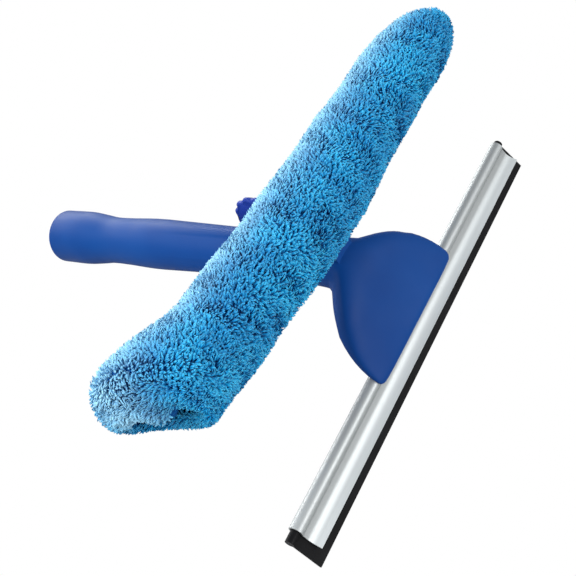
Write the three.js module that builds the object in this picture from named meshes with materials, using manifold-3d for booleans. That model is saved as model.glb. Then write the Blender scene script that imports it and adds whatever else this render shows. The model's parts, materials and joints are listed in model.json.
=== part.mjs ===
// Window squeegee and scrubber on one tilting head: a moulded grip with a pole socket, a head locked by a
// star knob, an aluminium channel with a rubber blade, and a T-bar that carries a microfibre sleeve.
// Millimetres. The tool frame has X along the blade, +Y towards the pole socket and +Z towards the scrubber,
// with the tilt bolt's axis through its origin. The last group lays the tool on the ground, +Z up.
import * as THREE from "three";
import { mergeVertices } from "three/addons/utils/BufferGeometryUtils.js";
import Module from "manifold-3d";

const wasm = await Module();
wasm.setup();

// ---- driving dimensions ----

const GAP = 0.3; // between pieces that touch
const HALF_TURN = Math.PI;

const grip = { end: 174, rimChamfer: 1.5, socketRadius: 18.9, bore: 12.9, boreEnd: 12.4, boreDepth: 64 };
const hub = {
  radius: 15.1, slotHalf: 7.2, tongueRadius: 12, neckHalf: 6, headGap: 0.9, bossRadius: 9, bossEnd: 21.4,
};
const bolt = { radius: 3, headFlats: 10, headHeight: 4, recess: 4.6, end: 30.9 };
const disc = { radius: 11.5, thickness: 1 };
const washer = { flatRadius: 8.5, springRadius: 6, thickness: 1 };
const knob = {
  start: 24.6, thickness: 8.2, radius: 21.3, lobeDepth: 1.6, lobes: 14, lobeSteps: 5, floor: 2.2,
  pocketRadius: 7, nutHeight: 3.6,
};
const arm = { reach: 80.2, radius: 16.3, bendStart: 53.6, bendEnd: 20 };
const blade = { angle: THREE.MathUtils.degToRad(62.85), drop: 2.75 };
const fan = {
  radius: 50.6, centre: 50, front: 55.2, corner: 4, brow: 7.8, swell: 5.2, rim: -0.5, rimRise: 4.5, skirt: 3,
};
const clamp = {
  halfWidth: 42, depth: 24, centre: 46, face: 0.3, underside: -6.4, front: 54.4, pilotDepth: 5.6,
  screws: [[0, 31], [-29, 39], [29, 39]],
};
const channel = {
  halfLength: 147.3, bead: 51.3, beadRadius: 3.8, wall: 1, trough: 59.2, lip: 67, lipRise: 4.8,
};
const rubber = { left: -154.4, right: 150.5, bulbRadius: 2.9, halfThickness: 0.7, tip: 73.9 };
const tbar = {
  y: -88.9, z: 57.2, radius: 14, bore: 11.5, halfLength: 128, plug: 10,
  drains: 7, drainPitch: 34, drainRadius: 4.5,
};
const bracket = {
  padBottom: 6, padTop: 16.8, baseTop: 20.5, halfWidth: 8.5, y: -67.5, halfDepth: 13, stem: 5, cradle: 17,
  cradleHalf: 20,
};
const sleeve = { start: -153.5, end: 150, bore: 14.6, boreEnd: 134, slitHalf: 18, slitEnd: 22, slitTop: 4.5 };
const screw = {
  shank: 1.6, hole: 1.9, head: 3.2, headHeight: 2, slot: 0.8, bracketOffset: 9.2, tbarOffset: 15,
};

// The sleeve from its open end to its closed tip: place along the bar, radius, and its bend up and back.
const pile = [
  [sleeve.start, 29, 11.5], [-142, 29.4, 11.3], [-130, 28.4, 10.2], [-120, 27, 8.5], [-110, 25.6, 6.6],
  [-100, 25, 5], [-80, 25, 3.9], [-60, 25.2, 2.8], [-40, 25.4, 1.7], [-20, 25.5, 0.3], [0, 25.1, 0],
  [30, 24, 0], [60, 23.1, 0], [90, 22.7, -0.5], [110, 22.4, -1], [122, 20.8, -2], [132, 18.4, -2.8],
  [140, 15.2, -3.6], [146, 11, -4], [149, 6.5, -4.2], [sleeve.end, 3, -4.3],
];

// ---- materials ----

function plastic(color, roughness) {
  return new THREE.MeshStandardMaterial({ color, roughness, metalness: 0 });
}

const bluePlastic = plastic(0x12369a, 0.42);
const knobPlastic = plastic(0x1b3fb4, 0.4);
const greyPlastic = plastic(0x4a4f57, 0.55);
const blackRubber = plastic(0x101113, 0.6);
const microfibre = plastic(0x2e8fdc, 0.95);
const steel = new THREE.MeshStandardMaterial({ color: 0xb4b7bb, roughness: 0.3, metalness: 1 });
const brass = new THREE.MeshStandardMaterial({ color: 0xb48a3c, roughness: 0.35, metalness: 1 });
const aluminium = new THREE.MeshStandardMaterial({ color: 0xc4c7ca, roughness: 0.35, metalness: 1 });

// ---- helpers: solids ----

function solidOf(geometry) {
  const bare = geometry.clone();
  bare.deleteAttribute("normal");
  bare.deleteAttribute("uv");
  const merged = mergeVertices(bare, 1e-4);
  return new wasm.Manifold(
    new wasm.Mesh({
      numProp: 3,
      vertProperties: merged.attributes.position.array,
      triVerts: new Uint32Array(merged.index.array),
    }),
  );
}

function geometryOf(solid) {
  const mesh = solid.getMesh();
  const geometry = new THREE.BufferGeometry();
  geometry.setAttribute("position", new THREE.BufferAttribute(mesh.vertProperties, 3));
  geometry.setIndex(new THREE.BufferAttribute(mesh.triVerts, 1));
  const faceted = geometry.toNonIndexed();
  faceted.computeVertexNormals();
  return faceted;
}

function join(first, ...others) {
  return others.reduce((sum, other) => sum.add(other), first);
}

function cut(first, ...others) {
  return others.reduce((rest, other) => rest.subtract(other), first);
}

function piece(name, solid, material) {
  const mesh = new THREE.Mesh(geometryOf(solid), material);
  mesh.name = name;
  return mesh;
}

function box(low, high) {
  const size = high.map((value, axis) => value - low[axis]);
  const geometry = new THREE.BoxGeometry(...size);
  geometry.translate(...low.map((value, axis) => value + size[axis] / 2));
  return solidOf(geometry);
}

// A rod between two ends along X, Y or Z. Six sides make a hexagon with two flats across Z or Y.
function rod(axis, radius, from, to, [x, y, z] = [0, 0, 0], sides = 32, farRadius = radius) {
  const geometry = new THREE.CylinderGeometry(farRadius, radius, to - from, sides);
  geometry.translate(0, (from + to) / 2, 0);
  if (axis === "x") geometry.rotateZ(-HALF_TURN / 2);
  if (axis === "z") geometry.rotateX(HALF_TURN / 2);
  geometry.translate(x, y, z);
  return solidOf(geometry);
}

// A body turned about the Y axis from [radius, y] points that start and end on the axis.
function turned(points, sides = 40) {
  const smooth = points.map(([radius, y]) => new THREE.Vector2(radius, y));
  return solidOf(new THREE.LatheGeometry(smooth, sides));
}

// A closed skin over rings of equal length, with a flat cap on each end ring.
function loft(rings) {
  const count = rings[0].length;
  const points = rings.flat();
  const faces = [];
  for (let ring = 0; ring + 1 < rings.length; ring++) {
    for (let i = 0; i < count; i++) {
      const a = ring * count + i;
      const b = ring * count + ((i + 1) % count);
      faces.push(a, b, a + count, b, b + count, a + count);
    }
  }
  const last = (rings.length - 1) * count;
  for (let i = 1; i + 1 < count; i++) {
    faces.push(0, i + 1, i, last, last + i, last + i + 1);
  }
  const geometry = new THREE.BufferGeometry().setFromPoints(points);
  geometry.setIndex(faces);
  return solidOf(geometry);
}

// An outline drawn in the (y, z) plane and swept along X.
function sweptAlongX(points, from, to) {
  const shape = new THREE.Shape(points.map(([y, z]) => new THREE.Vector2(y, z)));
  const geometry = new THREE.ExtrudeGeometry(shape, { depth: to - from, bevelEnabled: false });
  const turn = new THREE.Matrix4().makeBasis(
    new THREE.Vector3(0, 1, 0), new THREE.Vector3(0, 0, 1), new THREE.Vector3(1, 0, 0),
  );
  return solidOf(geometry.applyMatrix4(turn).translate(from, 0, 0));
}

function moved(solid, matrix) {
  return solidOf(geometryOf(solid).applyMatrix4(matrix));
}

// ---- helpers: outlines ----

// Points of a curve through a few knots.
function curveThrough(knots, divisions) {
  const curve = new THREE.SplineCurve(knots.map(([a, b]) => new THREE.Vector2(a, b)));
  return curve.getPoints(divisions).map((point) => [point.x, point.y]);
}

// The path shifted sideways by a distance, to its right for a positive one.
function shifted(path, distance) {
  return path.map(([a, b], i) => {
    const [a0, b0] = path[Math.max(i - 1, 0)];
    const [a1, b1] = path[Math.min(i + 1, path.length - 1)];
    const length = Math.hypot(a1 - a0, b1 - b0);
    return [a + (distance * (b1 - b0)) / length, b - (distance * (a1 - a0)) / length];
  });
}

// The middle line of the channel's wall: lower lip, trough, round the bead, trough, upper lip.
function channelPath() {
  const { bead, beadRadius, trough, lip, lipRise, wall } = channel;
  const squeeze = rubber.halfThickness + GAP + wall / 2;
  const mouth = THREE.MathUtils.degToRad(32);
  const joinY = -bead - beadRadius * Math.cos(mouth);
  const joinZ = beadRadius * Math.sin(mouth);
  const flare = [-(lip + trough) / 2, squeeze + 1];
  const jaw = curveThrough([[-lip, lipRise], flare, [-trough, squeeze], [joinY, joinZ]], 10);
  const lower = jaw.map(([y, z]) => [y, -z]);
  const bends = 18;
  const arc = [];
  for (let i = 1; i < bends; i++) {
    const angle = HALF_TURN + mouth + ((2 * HALF_TURN - 2 * mouth) * i) / bends;
    arc.push([-bead + beadRadius * Math.cos(angle), beadRadius * Math.sin(angle)]);
  }
  return [...lower, ...arc, ...jaw.reverse()];
}

// Everything the channel and its rubber take up, with a gap round it.
function channelRoom(halfLength) {
  const outer = shifted(channelPath(), channel.wall / 2 + GAP);
  return sweptAlongX(outer, -halfLength, halfLength);
}

// ---- grip: hand grip with the pole socket, ending in a fork for the head's tongue ----

function gripShell() {
  const { end, rimChamfer, socketRadius, bore, boreEnd, boreDepth } = grip;
  const { radius, slotHalf, tongueRadius, bossRadius, bossEnd } = hub;
  const outline = curveThrough(
    [
      [radius, 0], [15.9, 30], [17.1, 74], [16.3, 102], [16.2, 120], [17.6, 133], [socketRadius, 147],
      [socketRadius, end - 8],
    ],
    26,
  );
  const rim = [[socketRadius, end - rimChamfer], [socketRadius - rimChamfer, end], [0, end]];
  const body = turned([[0, 0], ...outline, ...rim], 48);
  const across = rod("x", radius, -radius, radius, [0, 0, 0], 48);
  const ears = rod("y", radius, -radius, 1, [0, 0, 0], 48).intersect(across);
  const boss = rod("x", bossRadius, slotHalf + 1, bossEnd, [0, 0, 0], 40);
  const tongueRoom = rod("x", tongueRadius + GAP, -slotHalf, slotHalf, [0, 0, 0], 48);
  const neckRoom = box([-slotHalf, -radius - 1, -radius - 1], [slotHalf, 0, radius + 1]);
  const socket = rod("y", boreEnd, end - boreDepth, end + 1, [0, 0, 0], 40, bore);
  const boltHole = rod("x", bolt.radius + GAP, -radius - 1, bossEnd + 1);
  const headRoom = bolt.headFlats / Math.sqrt(3) + GAP;
  const recess = rod("x", headRoom, -radius - 1, -radius + bolt.recess, [0, 0, 0], 6);
  return cut(join(body, ears, boss), tongueRoom, neckRoom, socket, boltHole, recess);
}

// ---- tilt bolt, washers and star knob ----

function tiltBolt() {
  const seat = -hub.radius + bolt.recess - GAP;
  const head = rod("x", bolt.headFlats / Math.sqrt(3), seat - bolt.headHeight, seat, [0, 0, 0], 6);
  return join(head, rod("x", bolt.radius, seat - 1, bolt.end));
}

function ring(radius, from, to) {
  return cut(rod("x", radius, from, to), rod("x", bolt.radius + GAP, from - 1, to + 1));
}

function starOutline(radius) {
  const steps = knob.lobes * knob.lobeSteps;
  return Array.from({ length: steps }, (_, i) => {
    const angle = (2 * HALF_TURN * i) / steps;
    const valley = (1 - Math.cos(knob.lobes * angle)) / 2;
    const reach = radius - knob.lobeDepth * valley ** 1.5;
    return [reach * Math.cos(angle), reach * Math.sin(angle)];
  });
}

// A domed disc with lobes round its edge and a pocket for the nut in its outer face.
function starKnob() {
  const { start, thickness, radius, floor, pocketRadius } = knob;
  const end = start + thickness;
  const dome = [[start, -1.2], [start + 1, 0], [start + 2.6, 0], [start + 5.4, -3], [end, -7.5]];
  const rings = dome.map(([x, inset]) =>
    starOutline(radius + inset).map(([y, z]) => new THREE.Vector3(x, y, z)),
  );
  const pocket = rod("x", pocketRadius, start + floor, end + 1);
  return cut(loft(rings), rod("x", bolt.radius + GAP, start - 1, end), pocket);
}

function knobNut() {
  const from = knob.start + knob.floor + GAP;
  const block = rod("x", bolt.headFlats / Math.sqrt(3), from, from + knob.nutHeight, [0, 0, 0], 6);
  return cut(block, rod("x", bolt.radius + GAP, from - 1, from + knob.nutHeight + 1));
}

function knobCap() {
  const end = knob.start + knob.thickness;
  const radius = knob.pocketRadius - GAP;
  const rim = rod("x", radius, end - 1.6, end + 0.4);
  return join(rim, rod("x", radius, end + 0.4, end + 1.4, [0, 0, 0], 32, radius - 2));
}

// ---- head: tongue, arm and half-disc blade holder in one moulding ----

// The blade frame hangs from the arm's end: -y runs to the rubber's edge and z is square to the blade.
function bladeMatrix() {
  const turn = new THREE.Matrix4().makeRotationX(blade.angle);
  const place = new THREE.Matrix4().makeTranslation(0, -arm.reach, 0);
  return place.multiply(turn).multiply(new THREE.Matrix4().makeTranslation(0, 0, -blade.drop));
}

// The (y, z) place in the tool of a point on the blade's middle plane.
function onBlade(distance) {
  const point = new THREE.Vector3(0, -distance, 0).applyMatrix4(bladeMatrix());
  return new THREE.Vector2(point.y, point.z);
}

// Half the width of the blade holder, a half disc, at a distance from the arm's end.
function discHalfWidth(distance) {
  const reach = Math.max(fan.centre - distance, 0);
  return Math.sqrt(Math.max(fan.radius ** 2 - reach ** 2, 0));
}

// A section square to the moulding's centre line: a circle at power 1, close to a box at power 0.5.
function headRing(centre, along, { halfWidth, rim, top, bottom, power }) {
  const steps = 48;
  return Array.from({ length: steps }, (_, i) => {
    const angle = (2 * HALF_TURN * i) / steps;
    const across = Math.sign(Math.cos(angle)) * Math.abs(Math.cos(angle)) ** power;
    const end = Math.sin(angle) > 0 ? top : bottom;
    const level = rim + (end - rim) * Math.abs(Math.sin(angle)) ** power;
    return new THREE.Vector3(halfWidth * across, centre.x + level * along.y, centre.y - level * along.x);
  });
}

// The blade holder's section: its rim rises towards the channel as its crown comes down.
function fanSection(distance) {
  const past = Math.max(distance - (fan.front - fan.corner), 0);
  const inset = fan.corner - Math.sqrt(Math.max(fan.corner ** 2 - past ** 2, 0));
  const share = THREE.MathUtils.clamp((distance - arm.bendEnd) / (fan.centre - arm.bendEnd), 0, 1);
  const rim = THREE.MathUtils.lerp(fan.rim, fan.rimRise, share);
  const top = fan.brow + fan.swell * ((fan.front - distance) / fan.front) ** 2 - 0.3 * inset;
  return { halfWidth: discHalfWidth(distance) - inset, rim, top, bottom: rim - fan.skirt, power: 0.5 };
}

// One skin from the hub along the arm, round the bend and down to the blade holder's front edge.
function headSkin() {
  const { radius, bendStart, bendEnd } = arm;
  const round = { halfWidth: radius, rim: 0, top: radius, bottom: -radius, power: 1 };
  const straight = [0, -18, -36].map((y) => {
    const taper = radius - 0.7 * (1 + y / bendStart);
    const section = { ...round, halfWidth: taper, top: taper, bottom: -taper };
    return headRing(new THREE.Vector2(y, 0), new THREE.Vector2(-1, 0), section);
  });

  const bend = new THREE.QuadraticBezierCurve(
    new THREE.Vector2(-bendStart, 0), new THREE.Vector2(-arm.reach, 0), onBlade(bendEnd),
  );
  const flat = fanSection(bendEnd);
  const down = onBlade(1).sub(onBlade(0));
  const steps = 14;
  const elbow = Array.from({ length: steps + 1 }, (_, i) => {
    const centre = bend.getPoint(i / steps);
    const ease = THREE.MathUtils.smoothstep(i / steps, 0, 1);
    const section = {};
    for (const key of Object.keys(round)) {
      section[key] = THREE.MathUtils.lerp(round[key], flat[key], ease);
    }
    const distance = centre.clone().sub(onBlade(0)).dot(down);
    section.halfWidth = (radius ** 6 + discHalfWidth(distance) ** 6) ** (1 / 6);
    return headRing(centre, bend.getTangent(i / steps), section);
  });

  const { front, centre, corner } = fan;
  const rounding = [corner, 2.4, 1.1, 0.3, 0].map((before) => front - before);
  const distances = [25, 30, 35, 40, 45, centre, ...rounding];
  const holder = distances.map((distance) => headRing(onBlade(distance), down, fanSection(distance)));
  return loft([...straight, ...elbow, ...holder]);
}

function clampOutline(grow) {
  const { halfWidth, depth, centre, front } = clamp;
  const side = [];
  const steps = 14;
  for (let i = 0; i <= steps; i++) {
    const angle = (HALF_TURN / 2) * (i / steps);
    side.push([(halfWidth + grow) * Math.sin(angle), (depth + grow) * Math.cos(angle) - centre]);
  }
  const right = [...side, [halfWidth + grow, -front]];
  const left = right.map(([x, y]) => [-x, y]).reverse();
  return [...right, ...left.slice(0, -1)];
}

function slab(outline, low, high) {
  const shape = new THREE.Shape(outline.map(([x, y]) => new THREE.Vector2(x, y)));
  const geometry = new THREE.ExtrudeGeometry(shape, { depth: high - low, bevelEnabled: false });
  geometry.translate(0, 0, low);
  return solidOf(geometry);
}

// What the blade holder leaves free below: the clamp plate's pocket, the channel's groove and screw holes.
function bladeRoom() {
  const { underside, face, centre, screws } = clamp;
  const pocket = slab(clampOutline(GAP), underside - 2, face);
  const open = box([-60, -60, underside - 2], [60, -centre, face]);
  const pilots = screws.map(([x, s]) => rod("z", screw.hole, 0, clamp.pilotDepth, [x, -s, 0], 16));
  return moved(join(pocket, open, channelRoom(60), ...pilots), bladeMatrix());
}

// What the head leaves free round the fork, with shoulders sloped at 45 degrees so that it can tilt.
function forkRoom() {
  const ears = rod("x", hub.radius + hub.headGap, -30, 30, [0, 0, 0], 64);
  const far = 40;
  const wedge = [[-GAP, 0], [-far, far - GAP], [far, far], [far, -far], [-far, GAP - far]];
  const shoulders = sweptAlongX(wedge, -30, 30);
  return join(ears, shoulders);
}

// The tongue fills the fork's slot but for the friction disc on its -X side.
function tongue() {
  const { slotHalf, tongueRadius, neckHalf, radius } = hub;
  const from = -slotHalf + disc.thickness + 2 * GAP;
  const to = slotHalf - GAP;
  const neck = box([from, -radius - 4, -neckHalf], [to, 0, neckHalf]);
  return join(rod("x", tongueRadius, from, to, [0, 0, 0], 48), neck);
}

function headMoulding() {
  const { halfWidth, y, halfDepth, padBottom, padTop } = bracket;
  const pad = box([-halfWidth, y - halfDepth, padBottom], [halfWidth, y + halfDepth, padTop]);
  const boltHole = rod("x", bolt.radius + GAP, -hub.slotHalf, hub.slotHalf);
  const pilots = [-1, 1].map((side) =>
    rod("z", screw.hole, padBottom, padTop + 1, [0, y + side * screw.bracketOffset, 0], 16),
  );
  return cut(join(cut(headSkin(), forkRoom()), tongue(), pad), bladeRoom(), boltHole, ...pilots);
}

// ---- blade: clamp plate, screws, channel and rubber, in the blade frame ----

function clampPlate() {
  const plate = slab(clampOutline(0), clamp.underside, clamp.face - GAP);
  const holes = clamp.screws.flatMap(([x, s]) => [
    rod("z", screw.hole, clamp.underside - 1, 2, [x, -s, 0], 16),
    rod("z", screw.head + GAP, clamp.underside - 1, clamp.underside + screw.headHeight + GAP, [x, -s, 0], 24),
  ]);
  return cut(plate, channelRoom(60), ...holes);
}

// A slotted pan-head screw along Z: its head's underside at `seat`, its shank upwards for a positive length.
function panScrew(x, y, seat, length) {
  const way = Math.sign(length);
  const upright = (radius, from, to, sides) =>
    rod("z", radius, Math.min(from, to), Math.max(from, to), [x, y, 0], sides);
  const headFar = seat - way * screw.headHeight;
  const head = upright(screw.head, headFar, seat, 24);
  const shank = upright(screw.shank, seat - way * 0.5, seat + length, 16);
  const low = Math.min(headFar, headFar + way * screw.slot) - 0.01;
  const halfSlot = screw.slot / 2;
  const slot = box([x - 2.2, y - halfSlot, low], [x + 2.2, y + halfSlot, low + screw.slot + 0.02]);
  return cut(join(head, shank), slot);
}

function channelExtrusion() {
  const path = channelPath();
  const outer = shifted(path, channel.wall / 2);
  const inner = shifted(path, -channel.wall / 2).reverse();
  return sweptAlongX([...outer, ...inner], -channel.halfLength, channel.halfLength);
}

function rubberBlade() {
  const { left, right, bulbRadius, halfThickness, tip } = rubber;
  const neck = Math.asin(halfThickness / bulbRadius);
  const bends = 16;
  const bulb = [];
  for (let i = 0; i <= bends; i++) {
    const angle = HALF_TURN + neck + ((2 * HALF_TURN - 2 * neck) * i) / bends;
    bulb.push([-channel.bead + bulbRadius * Math.cos(angle), bulbRadius * Math.sin(angle)]);
  }
  return sweptAlongX([[-tip, -halfThickness], ...bulb, [-tip, halfThickness]], left, right);
}

// ---- scrubber: bracket, T-bar, caps and sleeve ----

function tbarBracket() {
  const { padTop, baseTop, halfWidth, y, halfDepth, stem, cradle, cradleHalf } = bracket;
  const base = box([-halfWidth, y - halfDepth, padTop + GAP], [halfWidth, y + halfDepth, baseTop]);
  const stemRing = (z, middle, halfX, halfY) =>
    [[-1, -1], [1, -1], [1, 1], [-1, 1]].map(([i, j]) => new THREE.Vector3(i * halfX, middle + j * halfY, z));
  const top = tbar.z - tbar.radius;
  const foot = [baseTop - 1, baseTop + screw.headHeight + 1].map((z) => stemRing(z, y, stem, stem));
  const post = loft([...foot, stemRing(top - 8, y - 11, stem + 0.5, stem + 2), stemRing(top, tbar.y, 7, 9)]);
  const saddle = rod("x", cradle, -cradleHalf, cradleHalf, [0, tbar.y, tbar.z], 40);
  const upper = box([-30, tbar.y - 30, tbar.z - 6], [30, tbar.y + 30, tbar.z + 30]);
  const seat = rod("x", tbar.radius + GAP, -30, 30, [0, tbar.y, tbar.z], 40);
  const holes = [-1, 1].flatMap((side) => [
    rod("z", screw.hole, padTop, baseTop + 1, [0, y + side * screw.bracketOffset, 0], 16),
    rod("z", screw.hole, tbar.z - cradle - 1, tbar.z, [side * screw.tbarOffset, tbar.y, 0], 16),
  ]);
  return cut(join(base, post, cut(saddle, upper)), seat, ...holes);
}

function tbarCore() {
  const { y, z, radius, bore, halfLength, drains, drainPitch, drainRadius } = tbar;
  const outer = rod("x", radius, -halfLength, halfLength, [0, y, z], 40);
  const inner = rod("x", bore, -halfLength - 1, halfLength + 1, [0, y, z], 32);
  const drainHoles = Array.from({ length: drains }, (_, i) => {
    const x = (i - (drains - 1) / 2) * drainPitch;
    return rod("z", drainRadius, z, z + radius + 1, [x, y, 0], 20);
  });
  const pilots = [-1, 1].map((side) =>
    rod("z", screw.hole, z - radius - 1, z, [side * screw.tbarOffset, y, 0], 16),
  );
  return cut(outer, inner, ...drainHoles, ...pilots);
}

function tbarCap(side) {
  const { y, z, radius, bore, halfLength, plug } = tbar;
  const start = halfLength + GAP;
  const rim = rod("x", radius, start, start + 2.5, [0, 0, 0], 40);
  const crown = rod("x", radius, start + 2.5, start + 3.7, [0, 0, 0], 40, radius - 2);
  const inside = rod("x", bore - GAP, halfLength - plug, start + 1);
  const place = new THREE.Matrix4().makeTranslation(0, y, z);
  const turn = new THREE.Matrix4().makeRotationY(side > 0 ? 0 : HALF_TURN);
  return moved(join(rim, crown, inside), place.multiply(turn));
}

// The pile sleeve: closed and tapered at +X, open at -X, and slit below from its open end to the bracket.
function pileSleeve() {
  const { start, bore, boreEnd, slitHalf, slitEnd, slitTop } = sleeve;
  const sides = 32;
  const rings = pile.map(([x, radius, bend]) =>
    Array.from({ length: sides }, (_, i) => {
      const angle = (2 * HALF_TURN * i) / sides;
      const aside = bend / Math.SQRT2;
      const y = tbar.y + aside + radius * Math.cos(angle);
      const z = tbar.z + aside + radius * Math.sin(angle);
      return new THREE.Vector3(x, y, z);
    }),
  );
  const barRoom = rod("x", bore, start - 1, boreEnd, [0, tbar.y, tbar.z], 32);
  const slitLow = [start - 1, tbar.y - slitHalf, tbar.z - 40];
  const slit = box(slitLow, [slitEnd, tbar.y + slitHalf, tbar.z - slitTop]);
  return cut(loft(rings), barRoom, slit);
}

// ---- assembly ----

function bladeGroup() {
  const group = new THREE.Group();
  group.applyMatrix4(bladeMatrix());
  group.add(piece("clamp_plate", clampPlate(), bluePlastic));
  clamp.screws.forEach(([x, s], i) => {
    const seat = clamp.underside + screw.headHeight;
    group.add(piece(`clamp_screw_${i + 1}`, panScrew(x, -s, seat, 9), steel));
  });
  group.add(piece("channel", channelExtrusion(), aluminium));
  group.add(piece("rubber_blade", rubberBlade(), blackRubber));
  return group;
}

function scrubberGroup() {
  const group = new THREE.Group();
  group.add(piece("tbar_bracket", tbarBracket(), bluePlastic));
  group.add(piece("tbar_core", tbarCore(), greyPlastic));
  [-1, 1].forEach((side, i) => {
    const baseY = bracket.y + side * screw.bracketOffset;
    const barX = side * screw.tbarOffset;
    const cradleBottom = tbar.z - bracket.cradle;
    group.add(piece(`bracket_screw_${i + 1}`, panScrew(0, baseY, bracket.baseTop + GAP, -13), steel));
    group.add(piece(`tbar_screw_${i + 1}`, panScrew(barX, tbar.y, cradleBottom - GAP, 8), steel));
    group.add(piece(`tbar_cap_${i + 1}`, tbarCap(side), greyPlastic));
  });
  group.add(piece("sleeve", pileSleeve(), microfibre));
  return group;
}

function lockGroup() {
  const group = new THREE.Group();
  const discFrom = -hub.slotHalf + GAP;
  const flatFrom = hub.bossEnd + GAP;
  const springFrom = flatFrom + washer.thickness + GAP;
  group.add(piece("tilt_bolt", tiltBolt(), steel));
  group.add(piece("friction_disc", ring(disc.radius, discFrom, discFrom + disc.thickness), blackRubber));
  group.add(piece("flat_washer", ring(washer.flatRadius, flatFrom, flatFrom + washer.thickness), steel));
  group.add(piece("spring_washer", ring(washer.springRadius, springFrom, knob.start - GAP), steel));
  group.add(piece("star_knob", starKnob(), knobPlastic));
  group.add(piece("knob_nut", knobNut(), brass));
  group.add(piece("knob_cap", knobCap(), knobPlastic));
  return group;
}

function tool() {
  const group = new THREE.Group();
  group.add(piece("grip", gripShell(), bluePlastic));
  group.add(piece("head", headMoulding(), bluePlastic));
  group.add(lockGroup(), bladeGroup(), scrubberGroup());
  return group;
}

// The tool lies on the rubber's edge and on the lowest point of the pole socket's rim.
function layingTilt() {
  const edge = new THREE.Vector3(0, -rubber.tip, -rubber.halfThickness).applyMatrix4(bladeMatrix());
  return Math.atan2(-grip.socketRadius - edge.z, grip.end - grip.rimChamfer - edge.y);
}

const laid = new THREE.Group();
laid.add(tool());
laid.rotation.x = -layingTilt();
laid.updateMatrixWorld(true);
const extent = new THREE.Box3().setFromObject(laid, true);
const centre = extent.getCenter(new THREE.Vector3());
laid.position.set(-centre.x, -centre.y, -extent.min.z);

const squeegee = new THREE.Group();
squeegee.add(laid);

export default squeegee;
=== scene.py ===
import json
import math

import bmesh
import bpy
import numpy as np
from mathutils import Matrix, Vector


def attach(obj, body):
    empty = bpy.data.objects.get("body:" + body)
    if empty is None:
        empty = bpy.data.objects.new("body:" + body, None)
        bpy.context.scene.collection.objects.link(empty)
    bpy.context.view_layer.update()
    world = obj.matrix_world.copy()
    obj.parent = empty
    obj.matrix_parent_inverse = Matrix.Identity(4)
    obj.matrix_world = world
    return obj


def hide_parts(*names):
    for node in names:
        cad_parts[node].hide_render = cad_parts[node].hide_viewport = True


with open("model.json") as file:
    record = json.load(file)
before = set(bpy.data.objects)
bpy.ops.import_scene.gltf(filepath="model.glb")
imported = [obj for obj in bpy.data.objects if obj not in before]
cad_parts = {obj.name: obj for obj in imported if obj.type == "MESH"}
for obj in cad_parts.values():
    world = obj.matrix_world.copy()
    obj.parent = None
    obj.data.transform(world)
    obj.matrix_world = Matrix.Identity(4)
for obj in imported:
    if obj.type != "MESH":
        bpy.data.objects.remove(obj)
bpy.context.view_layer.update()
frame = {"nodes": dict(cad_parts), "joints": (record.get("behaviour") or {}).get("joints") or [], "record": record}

MM = 0.001
SEED = 7
RECORD = frame["record"]


# ---- the tool's own frame: millimetres, X along the blade, +Y to the socket, +Z to the sleeve ----


def tool_matrix():
    """Takes tool millimetres to metres on the ground, from the tilt joint and the socket's axis."""
    tilt = next(joint for joint in frame["joints"] if joint["name"] == "head_tilt")
    _, forward, up = RECORD["mounts"][0]["axis"]
    angle = math.atan2(up, forward)
    return Matrix.Translation(tilt["pos_m"]) @ Matrix.Rotation(angle, 4, "X") @ Matrix.Scale(MM, 4)


TOOL = tool_matrix()
TOOL_ARRAY = np.array(TOOL)


def to_world(points):
    """Tool points in millimetres as an array of points in metres."""
    points = np.asarray(points, float)
    return points @ TOOL_ARRAY[:3, :3].T + TOOL_ARRAY[:3, 3]


# ---- materials ----


def srgb(red, green, blue):
    """A colour given in 0 to 255 display values, as linear RGBA."""
    values = [v / 255 for v in (red, green, blue)]
    linear = [v / 12.92 if v <= 0.04045 else ((v + 0.055) / 1.055) ** 2.4 for v in values]
    return (*linear, 1.0)


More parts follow.
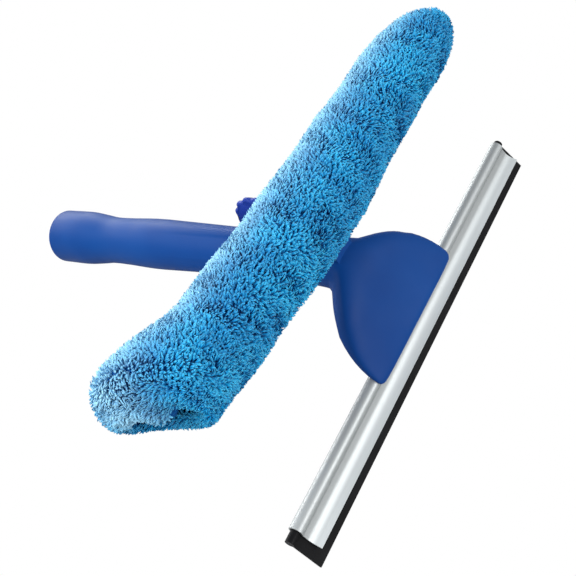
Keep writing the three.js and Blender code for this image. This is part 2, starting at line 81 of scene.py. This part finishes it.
class Shader:
    """A principled material with a few short ways to add procedural detail."""

    def __init__(self, name, **sockets):
        self.material = bpy.data.materials.new(name)
        self.material.use_nodes = True
        self.tree = self.material.node_tree
        self.bsdf = self.tree.nodes["Principled BSDF"]
        for socket, value in sockets.items():
            self.bsdf.inputs[socket.replace("_", " ")].default_value = value

    def node(self, kind, **inputs):
        made = self.tree.nodes.new(kind)
        for socket, value in inputs.items():
            made.inputs[socket.replace("_", " ")].default_value = value
        return made

    def link(self, source, target):
        self.tree.links.new(source, target)

    def noise(self, scale, detail=3.0, stretch=(1, 1, 1)):
        """Noise over the object's own coordinates. A stretch under 1 draws it out along that axis."""
        place = self.node("ShaderNodeTexCoord")
        mapping = self.node("ShaderNodeMapping")
        mapping.inputs["Scale"].default_value = stretch
        texture = self.node("ShaderNodeTexNoise", Scale=scale, Detail=detail)
        self.link(place.outputs["Object"], mapping.inputs["Vector"])
        self.link(mapping.outputs["Vector"], texture.inputs["Vector"])
        return texture.outputs["Fac"]

    def ramp(self, factor, stops):
        """A colour ramp from (place, colour) stops."""
        made = self.node("ShaderNodeValToRGB")
        elements = made.color_ramp.elements
        while len(elements) < len(stops):
            elements.new(0.5)
        for element, (place, colour) in zip(elements, stops):
            element.position = place
            element.color = colour
        self.link(factor, made.inputs["Fac"])
        return made.outputs["Color"]

    def spread(self, factor, low, high):
        """Maps 0.3 to 0.7, where most noise lies, to low and high."""
        limits = {"From_Min": 0.3, "From_Max": 0.7, "To_Min": low, "To_Max": high}
        made = self.node("ShaderNodeMapRange", **limits)
        self.link(factor, made.inputs["Value"])
        return made.outputs["Result"]

    def attribute(self, name):
        made = self.node("ShaderNodeAttribute")
        made.attribute_name = name
        return made.outputs["Fac"]

    def mix(self, factor, first, second, blend="MIX"):
        """Mixes two colours, each a socket or a plain value. Sockets 6, 7 and 2 carry colours."""
        made = self.node("ShaderNodeMix")
        made.data_type = "RGBA"
        made.blend_type = blend
        for value, socket in ((factor, 0), (first, 6), (second, 7)):
            if hasattr(value, "links"):
                self.link(value, made.inputs[socket])
            else:
                made.inputs[socket].default_value = value
        return made.outputs[2]

    def colour(self, source):
        self.link(source, self.bsdf.inputs["Base Color"])

    def roughness(self, noise, low, high):
        self.link(self.spread(noise, low, high), self.bsdf.inputs["Roughness"])

    def bump(self, height, strength, distance):
        made = self.node("ShaderNodeBump", Strength=strength, Distance=distance)
        self.link(height, made.inputs["Height"])
        self.link(made.outputs["Normal"], self.bsdf.inputs["Normal"])


def moulded_plastic(name, dark, light, roughness):
    shader = Shader(name, Specular_IOR_Level=0.13)
    shader.colour(shader.ramp(shader.noise(14), [(0.35, dark), (0.65, light)]))
    shader.roughness(shader.noise(60), roughness - 0.04, roughness + 0.05)
    shader.bump(shader.noise(1400, 2), strength=0.08, distance=0.0002)
    return shader.material


def anodised_aluminium():
    """Drawn along the blade. Painted shade darkens the band between the bright lips and the bead, and the top a
    little.
    """
    shader = Shader("anodised_aluminium", Metallic=1.0)
    drawn = shader.noise(220, 4, stretch=(0.02, 1, 1))
    tone = shader.ramp(drawn, [(0.3, srgb(212, 216, 216)), (0.7, srgb(222, 226, 226))])
    place = shader.node("ShaderNodeTexCoord")
    height = shader.node("ShaderNodeSeparateXYZ")
    shader.link(place.outputs["Generated"], height.inputs["Vector"])
    # Painted shade across the channel's height, multiplied into the drawn tone: none low down, most in the middle
    # band, some on top.
    painted_shade_bands = [(0.44, 255), (0.56, 184), (0.70, 184), (0.82, 210)]
    painted_shade_greys = [(stop, srgb(level, level, level)) for stop, level in painted_shade_bands]
    painted_shade = shader.ramp(height.outputs["Z"], painted_shade_greys)
    shader.colour(shader.mix(1.0, tone, painted_shade, "MULTIPLY"))
    shader.roughness(drawn, 0.52, 0.62)
    shader.bump(drawn, strength=0.05, distance=0.0002)
    return shader.material


def bare_metal(name, dark, light, roughness):
    shader = Shader(name, Metallic=1.0)
    shader.colour(shader.ramp(shader.noise(90), [(0.3, dark), (0.7, light)]))
    shader.roughness(shader.noise(400), roughness, roughness + 0.15)
    return shader.material


def black_rubber():
    shader = Shader("blade_rubber", Specular_IOR_Level=0.08)
    tone = shader.ramp(shader.noise(60), [(0.3, srgb(10, 10, 11)), (0.7, srgb(20, 20, 22))])
    shader.colour(tone)
    shader.roughness(shader.noise(200), 0.38, 0.5)
    shader.bump(shader.noise(900, 2), strength=0.1, distance=0.0002)
    return shader.material


def microfibre_pile():
    """Painted shade along each tuft, deep blue at the roots and pale at the tips, each tuft its own tone, and a
    painted rim light that makes the pile pale up and back.
    """
    shader = Shader("microfibre_pile", Roughness=0.8, Specular_IOR_Level=0.1, Sheen_Weight=0.08)
    # Painted shade along each tuft: darkest at the root, where the tufts shade each other, and lightest at the
    # tip.
    depth = [
        (0.0, srgb(0, 130, 184)),
        (0.4, srgb(0, 146, 202)),
        (0.75, srgb(10, 160, 214)),
        (1.0, srgb(70, 188, 230)),
    ]
    along = shader.ramp(shader.attribute("depth"), depth)
    white = srgb(255, 255, 255)
    tone = shader.ramp(shader.attribute("tone"), [(0.0, srgb(206, 216, 228)), (1.0, white)])
    patches = shader.ramp(shader.noise(45), [(0.35, srgb(205, 215, 230)), (0.6, white)])
    toned = shader.mix(1.0, along, tone, "MULTIPLY")
    patched = shader.mix(1.0, toned, patches, "MULTIPLY")
    # Mixes in the pale painted rim light, up and back on the sleeve.
    shader.colour(shader.mix(shader.attribute("painted_rim_light"), patched, srgb(158, 210, 236)))
    return shader.material


def woven_backing():
    shader = Shader("woven_backing", Roughness=0.9, Specular_IOR_Level=0.1)
    weave = shader.noise(900, 2)
    shader.colour(shader.ramp(weave, [(0.35, srgb(4, 66, 128)), (0.65, srgb(10, 92, 160))]))
    shader.bump(weave, strength=0.4, distance=0.0004)
    return shader.material


MATERIALS = {
    "blue_plastic": moulded_plastic("blue_plastic", srgb(0, 55, 122), srgb(4, 63, 132), 0.5),
    "knob_plastic": moulded_plastic("knob_plastic", srgb(26, 50, 134), srgb(34, 58, 144), 0.46),
    "grey_plastic": moulded_plastic("grey_plastic", srgb(70, 74, 80), srgb(84, 88, 94), 0.5),
    "black_rubber": black_rubber(),
    "microfibre": microfibre_pile(),
    "aluminium": anodised_aluminium(),
    "steel": bare_metal("zinc_plated_steel", srgb(186, 188, 192), srgb(208, 210, 214), 0.25),
    "brass": bare_metal("turned_brass", srgb(190, 150, 70), srgb(208, 170, 92), 0.25),
}
BACKING = woven_backing()


# ---- pieces ----


WELD_DISTANCE = 2e-6
FLAT_ANGLE = math.radians(0.5)


def body_of_node(node):
    return next(body for body, nodes in RECORD["behaviour"]["bodies"].items() if node in nodes)


def slot_of_node(node):
    return next(part["material_slot"] for part in RECORD["subparts"] if part["node"] == node)


def new_piece(name, mesh, node, material=None):
    """Links a finished mesh as the visible piece that rides with a CAD node and takes its slot."""
    piece = bpy.data.objects.new(name, mesh)
    bpy.context.scene.collection.objects.link(piece)
    mesh.materials.clear()
    mesh.materials.append(material or MATERIALS[slot_of_node(node)])
    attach(piece, body_of_node(node))
    return piece


def refined(node, name, crease, bevel):
    """A CAD node's shape, welded and shaded smoothly, with edges softened by bevel millimetres."""
    mesh = frame["nodes"][node].data.copy()
    made = bmesh.new()
    made.from_mesh(mesh)
    bmesh.ops.remove_doubles(made, verts=made.verts, dist=WELD_DISTANCE)
    bmesh.ops.dissolve_limit(made, angle_limit=FLAT_ANGLE, verts=made.verts, edges=made.edges)
    made.to_mesh(mesh)
    made.free()
    mesh.shade_smooth()
    mesh.set_sharp_from_angle(angle=math.radians(crease))
    piece = new_piece(name, mesh, node)
    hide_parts(node)
    rounding = piece.modifiers.new("soft_edges", "BEVEL")
    rounding.width = bevel * MM
    rounding.segments = 2
    rounding.angle_limit = math.radians(crease)
    rounding.harden_normals = True


# For each CAD node: its piece's name, the crease angle in degrees, and the bevel in millimetres.
PLAIN_PIECES = {
    "grip": ("moulded_grip", 30, 0.6),
    "head": ("moulded_head", 30, 0.9),
    "clamp_plate": ("lower_jaw", 30, 0.4),
    "tbar_bracket": ("scrubber_bracket", 30, 0.3),
    "star_knob": ("lobed_knob", 40, 0.5),
    "knob_cap": ("knob_cap_disc", 30, 0.2),
    "tbar_core": ("drilled_tbar", 30, 0.2),
    "tbar_cap_1": ("near_bar_cap", 30, 0.2),
    "tbar_cap_2": ("far_bar_cap", 30, 0.2),
    "friction_disc": ("pressed_disc", 30, 0.1),
    "rubber_blade": ("blade_rubber_strip", 30, 0.1),
    "channel": ("drawn_channel", 30, 0.12),
    "tilt_bolt": ("hex_bolt", 30, 0.2),
    "flat_washer": ("plain_washer", 30, 0.1),
    "spring_washer": ("split_washer", 30, 0.1),
    "knob_nut": ("pressed_nut", 30, 0.1),
}
SCREW_COUNTS = {"clamp": 3, "bracket": 2, "tbar": 2}


def small_screws():
    nodes = []
    for place, count in SCREW_COUNTS.items():
        nodes += [f"{place}_screw_{i + 1}" for i in range(count)]
    return {node: (node.replace("screw", "pan_screw"), 30, 0.1) for node in nodes}


# ---- the microfibre sleeve ----

# The pile's outside, from the open end to the closed tip: place along the bar, radius, and bend up
# and back.
PILE = [
    (-154, 28.2, 12.6), (-142, 28.6, 11.6), (-130, 28.0, 10.2), (-120, 26.6, 8.5),
    (-110, 25.2, 6.6), (-100, 24.8, 5.2), (-80, 24.8, 4.1), (-60, 25.0, 2.8),
    (-40, 25.2, 1.5), (-20, 25.4, 0.3), (0, 24.9, 0), (30, 23.7, 0), (60, 22.7, 0),
    (90, 22.3, -0.5), (110, 21.9, -1.2), (122, 20.4, -2.0), (132, 18.2, -2.8),
    (139, 15.2, -3.6), (146, 11.0, -4.2), (149.7, 6.5, -4.5), (151.3, 1.0, -4.6),
]
PILE_HEIGHT = 3.6
PILE_STAND = 0.8 * PILE_HEIGHT
LUMP_HEIGHT = 0.8
LUMPS_END = 140.0
LUMPS_FADE = 30.0
BAR_AXIS = (-88.9, 57.2)
BAR_ROOM = 15.0
WALL = 5.0
HEM_ROOM = BAR_ROOM + 3.0

# The open end: the fabric rolls inwards over a lip and leaves a low, folded mouth.
LIP_START = -146.0
LIP_ARC = 30.0
LIP_DEPTH = 7.0
MOUTH_HALF_WIDTH = 19.0
MOUTH_HALF_HEIGHT = 7.5
MOUTH_DROP = 8.0
MOUTH_FORWARD = 5.0
FOLD_DROP = 10.5
FOLD_PLACE = 2.0
FOLD_WIDTH = 4.5
HEM = 14.0

# The open end is cut aslant: it reaches furthest, and flares to a corner, up and back. The top is
# cut back, which shows the mouth.
SLANT = 11.0
SLANT_START = -105.0
SLANT_LENGTH = 40.0
CORNER_ANGLE = math.radians(-36)
CORNER_WIDTH = math.radians(32)
CORNER_FLARE = 2.0
TOP_CUT = 10.0
TOP_CUT_ANGLE = math.radians(16)
TOP_CUT_WIDTH = math.radians(52)

# The band of paler pile round the corner's angle is a painted rim light: a painted highlight where light grazes
# the sleeve up and back.
PAINTED_RIM_LIGHT = 0.9
PAINTED_RIM_LIGHT_WIDTH = math.radians(38)

# The slit below lets the bracket's stem in. Its sides draw together at the open end.
SLIT_HALF_ANGLE = math.radians(42)
SLIT_END = 22.0
SLIT_END_RUN = 8.0
SLIT_CLOSES = -112.0
SLIT_CLOSING_RUN = 30.0

# The rows of the backing's grid: round the hem and lip, along the tube, over the tip, and inside.
BACKING_COLUMNS = 72
HEM_ROWS = np.linspace(LIP_START - LIP_ARC - HEM, LIP_START, 40)
TUBE_ROWS = np.linspace(LIP_START + 3, 130, 92)
TIP_ROWS = np.linspace(133, 151.2, 12)
LINING_ROWS = np.linspace(-132, 134, 60)

# The pile is split into pieces at these places. It starts well inside the lip.
PILE_LIMITS = (LIP_START - 0.8 * LIP_ARC, -100, -30, 40, 151.3)
TUFT_PITCH = 1.22
PROFILE_SAMPLES = 2400
RING_SAMPLES = 90
TUFT_SIDES = 4
TUFT_WIDTHS = (0.6, 0.7, 0.64, 0.42)
TUFT_DEPTHS = (0.0, 0.4, 0.75, 0.95)
ROOT_DEPTH = 0.4


def smoothstep(values):
    values = np.clip(values, 0, 1)
    return values * values * (3 - 2 * values)


def waves(along, around, count, scale, rng):
    """A smooth random field over the sleeve, from a few sine waves that close round it."""
    total = np.zeros_like(along, float)
    for _ in range(count):
        turns = rng.integers(-4, 5)
        length = rng.uniform(0.6, 1.6) * scale
        total += np.sin(2 * np.pi * along / length + turns * around + rng.uniform(0, 2 * np.pi))
    return total / math.sqrt(count)


def outer_radius(x):
    """The backing's radius, which leaves room for the pile to stand on it."""
    return np.interp(x, [row[0] for row in PILE], [row[1] for row in PILE]) - PILE_STAND


def centre_line(x):
    """The sleeve's middle in (y, z): it bends away from the bar up and back."""
    aside = np.interp(x, [row[0] for row in PILE], [row[2] for row in PILE]) / math.sqrt(2)
    return np.stack([BAR_AXIS[0] + aside, BAR_AXIS[1] + aside], axis=-1)


def circle(centre, radius, around):
    """A ring in (y, z): around is 0 on top and grows towards the blade."""
    radius = np.asarray(radius)[..., None]
    return centre + radius * np.stack([-np.sin(around), np.cos(around)], axis=-1)


def from_corner(around, width):
    """1 at the corner's angle, falling smoothly to 0 away from it."""
    return np.exp(-((around - CORNER_ANGLE) / width) ** 2)


def mouth_curve(around):
    """The mouth's edge in (y, z): a flat oval whose upper side folds down in the middle."""
    y = -MOUTH_HALF_WIDTH * np.sin(around)
    fold = FOLD_DROP * np.exp(-((y - FOLD_PLACE) / FOLD_WIDTH) ** 2) * np.clip(np.cos(around), 0, 1)
    z = MOUTH_HALF_HEIGHT * np.cos(around) - MOUTH_DROP - fold
    return centre_line(np.full_like(y, LIP_START)) + np.stack([y - MOUTH_FORWARD, z], axis=-1)


def sleeve_point(u, around):
    """The fabric's surface. Above LIP_START, u is the place along the bar. Below it, u counts on
    round the lip, and then back into the sleeve along the hem."""
    u, around = np.broadcast_arrays(np.asarray(u, float), np.asarray(around, float))
    x = np.maximum(u, LIP_START)
    at_end = smoothstep((SLANT_START - x) / SLANT_LENGTH)
    lumps = LUMP_HEIGHT * np.sin(x / 15 + 2 * around) * np.sin(x / 23 - around)
    lumps = lumps * smoothstep((LUMPS_END - x) / LUMPS_FADE)
    corner = CORNER_FLARE * from_corner(around, CORNER_WIDTH) * at_end
    outside = circle(centre_line(x), outer_radius(x) + lumps + corner, around)
    roll = np.clip((LIP_START - u) / LIP_ARC, 0, 1) * np.pi
    past = np.maximum(LIP_START - LIP_ARC - u, 0)
    inner = circle(centre_line(LIP_START + past), np.full_like(u, HEM_ROOM), around)
    mouth = mouth_curve(around)
    inside = mouth + (inner - mouth) * smoothstep(past / HEM)[..., None]
    share = (1 + np.cos(roll))[..., None] / 2
    ring = outside * share + inside * (1 - share)
    depth = LIP_DEPTH * (1 + 0.15 * np.sin(3 * around + 0.6) - 0.3 * np.sin(around))
    cut = TOP_CUT * np.exp(-((around - TOP_CUT_ANGLE) / TOP_CUT_WIDTH) ** 2)
    slant = (SLANT * np.cos(around - CORNER_ANGLE) - cut) * at_end
    place = x - depth * np.sin(roll) + past - slant
    return np.concatenate([place[..., None], ring], axis=-1)


def slit_angle(u):
    """How far the slit opens each side of the sleeve's underside."""
    from_open_end = smoothstep((u - SLIT_CLOSES) / SLIT_CLOSING_RUN)
    to_far_end = 1 - smoothstep((u - SLIT_END + SLIT_END_RUN) / SLIT_END_RUN)
    return SLIT_HALF_ANGLE * (from_open_end * to_far_end)


def grid_faces(rows, columns, start=0, flip=False):
    faces = []
    for row in range(rows - 1):
        for column in range(columns - 1):
            a = start + row * columns + column
            quad = (a, a + 1, a + columns + 1, a + columns)
            faces.append(quad[::-1] if flip else quad)
    return faces


def backing_mesh():
    """The woven tube under the pile: its outside with the rolled lip, and a lining a wall in."""
    share = np.linspace(-1, 1, BACKING_COLUMNS)
    outside = np.concatenate([HEM_ROWS, TUBE_ROWS, TIP_ROWS])
    outside_turn = share[None, :] * (np.pi - slit_angle(outside))[:, None]
    lining_turn = share[None, :] * (np.pi - slit_angle(LINING_ROWS))[:, None]
    outer = sleeve_point(outside[:, None], outside_turn)

    # The lining keeps to the sleeve's own middle, and to the bar's where it fits closely.
    lining_radius = np.maximum(outer_radius(LINING_ROWS) - WALL, BAR_ROOM)[:, None]
    sleeve_middle = centre_line(LINING_ROWS)[:, None, :]
    close_fit = (lining_radius < HEM_ROOM)[..., None]
    middle = np.where(close_fit, np.array(BAR_AXIS), sleeve_middle)
    ring = circle(middle, lining_radius, lining_turn)
    along = np.broadcast_to(LINING_ROWS[:, None, None], ring.shape[:2] + (1,))
    inner = np.concatenate([along, ring], axis=-1)

    points = np.concatenate([outer.reshape(-1, 3), inner.reshape(-1, 3)])
    faces = grid_faces(len(outside), BACKING_COLUMNS, flip=True)
    faces += grid_faces(len(LINING_ROWS), BACKING_COLUMNS, start=len(outside) * BACKING_COLUMNS)
    mesh = bpy.data.meshes.new("sleeve_backing")
    mesh.from_pydata(to_world(points).tolist(), [], faces)
    mesh.shade_smooth()
    return mesh


def tuft_roots(low, high, rng):
    """Jittered places for tufts on the sleeve's outside, evenly spaced along it and round it."""
    fine = np.linspace(low, high, PROFILE_SAMPLES)
    profile = sleeve_point(fine, np.zeros_like(fine))
    reach = np.concatenate([[0], np.cumsum(np.linalg.norm(np.diff(profile, axis=0), axis=1))])
    rows = np.interp(np.arange(TUFT_PITCH / 2, reach[-1], TUFT_PITCH), reach, fine)
    u_all, around_all = [], []
    for u in rows:
        half_turn = np.pi - float(slit_angle(u))
        turn = np.linspace(-half_turn, half_turn, RING_SAMPLES)
        ring = sleeve_point(np.full_like(turn, u), turn)
        length = np.concatenate([[0], np.cumsum(np.linalg.norm(np.diff(ring, axis=0), axis=1))])
        count = max(int(length[-1] / TUFT_PITCH), 4)
        spots = (np.arange(count) + rng.uniform(0, 1, count)) * length[-1] / count
        around_all.append(np.interp(spots, length, turn))
        u_all.append(u + rng.uniform(-0.5, 0.5, count) * TUFT_PITCH * 0.8)
    return np.clip(np.concatenate(u_all), low, high), np.concatenate(around_all)


def unit(vectors):
    return vectors / np.maximum(np.linalg.norm(vectors, axis=1, keepdims=True), 1e-9)


def tufts_mesh(name, u, around, rng):
    """Curled tufts with round tips, leaning together in locks, each with a tone of its own."""
    count = len(u)
    root = sleeve_point(u, around)
    step = 0.3
    along = unit(sleeve_point(u + step, around) - sleeve_point(u - step, around))
    turn = 0.02
    across = sleeve_point(u, around + turn) - sleeve_point(u, around - turn)
    across = unit(across - along * np.sum(across * along, axis=1, keepdims=True))
    normal = np.cross(across, along)
    top = int(np.argmax((np.abs(around) < 0.3) & (u > LIP_START) & (u < 130)))
    if normal[top, 2] < 0:
        normal = -normal

    heading = 1.6 * waves(u, around, 6, 24, rng) + rng.normal(0, 0.9, count)
    lean = np.cos(heading)[:, None] * along + np.sin(heading)[:, None] * across
    side = np.cross(normal, lean)
    length = PILE_HEIGHT * rng.uniform(0.85, 1.3, count)[:, None]
    curl = rng.uniform(0.3, 1.1, count)[:, None]
    twist = rng.uniform(-0.8, 0.8, count)[:, None]
    moves = [
        0.42 * normal + 0.1 * curl * lean,
        0.3 * normal + 0.24 * curl * lean + 0.1 * twist * side,
        0.14 * normal + 0.22 * curl * lean + 0.2 * twist * side,
        0.03 * normal + 0.1 * curl * lean + 0.1 * twist * side,
    ]
    thickness = rng.uniform(0.8, 1.15, count)[:, None]
    ring = root - ROOT_DEPTH * normal
    points = []
    for width, move in zip(TUFT_WIDTHS, moves):
        for corner in range(TUFT_SIDES):
            angle = 2 * np.pi * corner / TUFT_SIDES
            offset = math.cos(angle) * side + math.sin(angle) * unit(0.5 * normal + lean)
            points.append(ring + offset * width * thickness)
        ring = ring + move * length
    points.append(ring)
    stacked = np.stack(points, axis=1)
    per_tuft = stacked.shape[1]

    quads, tips = [], []
    for level in range(len(TUFT_WIDTHS)):
        for corner in range(TUFT_SIDES):
            a = level * TUFT_SIDES + corner
            b = level * TUFT_SIDES + (corner + 1) % TUFT_SIDES
            if level + 1 < len(TUFT_WIDTHS):
                quads.append((a, b, b + TUFT_SIDES, a + TUFT_SIDES))
            else:
                tips.append((a, b, per_tuft - 1))
    starts = np.arange(count)[:, None, None] * per_tuft
    faces = (starts + np.array(quads)[None]).reshape(-1, 4).tolist()
    faces += (starts + np.array(tips)[None]).reshape(-1, 3).tolist()
    mesh = bpy.data.meshes.new(name)
    mesh.from_pydata(to_world(stacked.reshape(-1, 3)).tolist(), [], faces)
    mesh.shade_smooth()
    depth = np.append(np.repeat(TUFT_DEPTHS, TUFT_SIDES), 1.0)
    tone = np.clip(0.6 + 0.12 * waves(u, around, 6, 18, rng) + rng.normal(0, 0.2, count), 0, 1)
    # Painted rim light: how far each tuft is paled, strongest at the corner's angle.
    painted_rim_light = PAINTED_RIM_LIGHT * from_corner(around, PAINTED_RIM_LIGHT_WIDTH)
    shading = {
        "depth": np.tile(depth, count),
        "tone": np.repeat(tone, per_tuft),
        "painted_rim_light": np.repeat(painted_rim_light, per_tuft),
    }
    for key, values in shading.items():
        attribute = mesh.attributes.new(key, "FLOAT", "POINT")
        attribute.data.foreach_set("value", values.astype(np.float32))
    return mesh


def sleeve_pieces():
    rng = np.random.default_rng(SEED)
    backing = new_piece("sleeve_backing", backing_mesh(), "sleeve", BACKING)
    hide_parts("sleeve")
    for part, (low, high) in enumerate(zip(PILE_LIMITS, PILE_LIMITS[1:]), 1):
        u, around = tuft_roots(low, high, rng)
        new_piece(f"pile_{part}", tufts_mesh(f"pile_{part}", u, around, rng), "sleeve")


# ---- stage ----

CAMERA_PLACE = Vector((-0.2849, -0.3547, 0.4597))
CAMERA_AIM = Vector((-0.0253, -0.0777, 0.0600))
CAMERA_ROLL = math.radians(-24.42)
SENSOR_WIDTH = 36.0
FOCAL_LENGTH = 59.37


def make_camera():
    data = bpy.data.cameras.new("camera")
    data.sensor_width = SENSOR_WIDTH
    data.lens = FOCAL_LENGTH
    camera = bpy.data.objects.new("camera", data)
    bpy.context.scene.collection.objects.link(camera)
    level = (CAMERA_AIM - CAMERA_PLACE).to_track_quat("-Z", "Y").to_matrix().to_4x4()
    roll = Matrix.Rotation(CAMERA_ROLL, 4, "Z")
    camera.matrix_world = Matrix.Translation(CAMERA_PLACE) @ level @ roll
    bpy.context.scene.camera = camera


def make_floor():
    """A plain floor that looks white but throws back only part of the light."""
    shader = Shader("pale_floor", Base_Color=(0.4, 0.4, 0.4, 1), Roughness=0.9)
    white = shader.node("ShaderNodeEmission", Color=(1, 1, 1, 1), Strength=1.0)
    rays = shader.node("ShaderNodeLightPath")
    chosen = shader.node("ShaderNodeMixShader")
    shader.link(rays.outputs["Is Camera Ray"], chosen.inputs["Fac"])
    shader.link(shader.bsdf.outputs["BSDF"], chosen.inputs[1])
    shader.link(white.outputs["Emission"], chosen.inputs[2])
    shader.link(chosen.outputs["Shader"], shader.tree.nodes["Material Output"].inputs["Surface"])
    half = 3.0
    mesh = bpy.data.meshes.new("floor")
    corners = [(-half, -half, 0), (half, -half, 0), (half, half, 0), (-half, half, 0)]
    mesh.from_pydata(corners, [], [(0, 1, 2, 3)])
    mesh.materials.append(shader.material)
    floor = bpy.data.objects.new("floor", mesh)
    bpy.context.scene.collection.objects.link(floor)


def area_light(name, place, aim, size, power):
    data = bpy.data.lights.new(name, "AREA")
    data.shape = "RECTANGLE"
    data.size, data.size_y = size
    data.energy = power
    light = bpy.data.objects.new(name, data)
    bpy.context.scene.collection.objects.link(light)
    turn = (Vector(aim) - Vector(place)).to_track_quat("-Z", "Y").to_matrix().to_4x4()
    light.matrix_world = Matrix.Translation(place) @ turn


def make_lights():
    world = bpy.data.worlds.new("studio")
    bpy.context.scene.world = world
    world.use_nodes = True
    background = world.node_tree.nodes["Background"]
    background.inputs["Color"].default_value = (0.93, 0.96, 1.0, 1)
    background.inputs["Strength"].default_value = 0.6
    area_light("key_softbox", (-0.55, 0.3, 1.05), (0, 0, 0.05), (0.9, 0.7), 16)
    area_light("rim_softbox", (0.45, 1.05, 0.25), (0, 0, 0.08), (1.2, 0.35), 12)
    area_light("front_softbox", (0.1, -1.0, 0.35), (0, -0.1, 0.03), (1.2, 0.3), 7)


make_camera()
make_floor()
make_lights()
for node, (name, crease, bevel) in {**PLAIN_PIECES, **small_screws()}.items():
    refined(node, name, crease, bevel)
sleeve_pieces()
bpy.context.scene.view_settings.view_transform = "Standard"
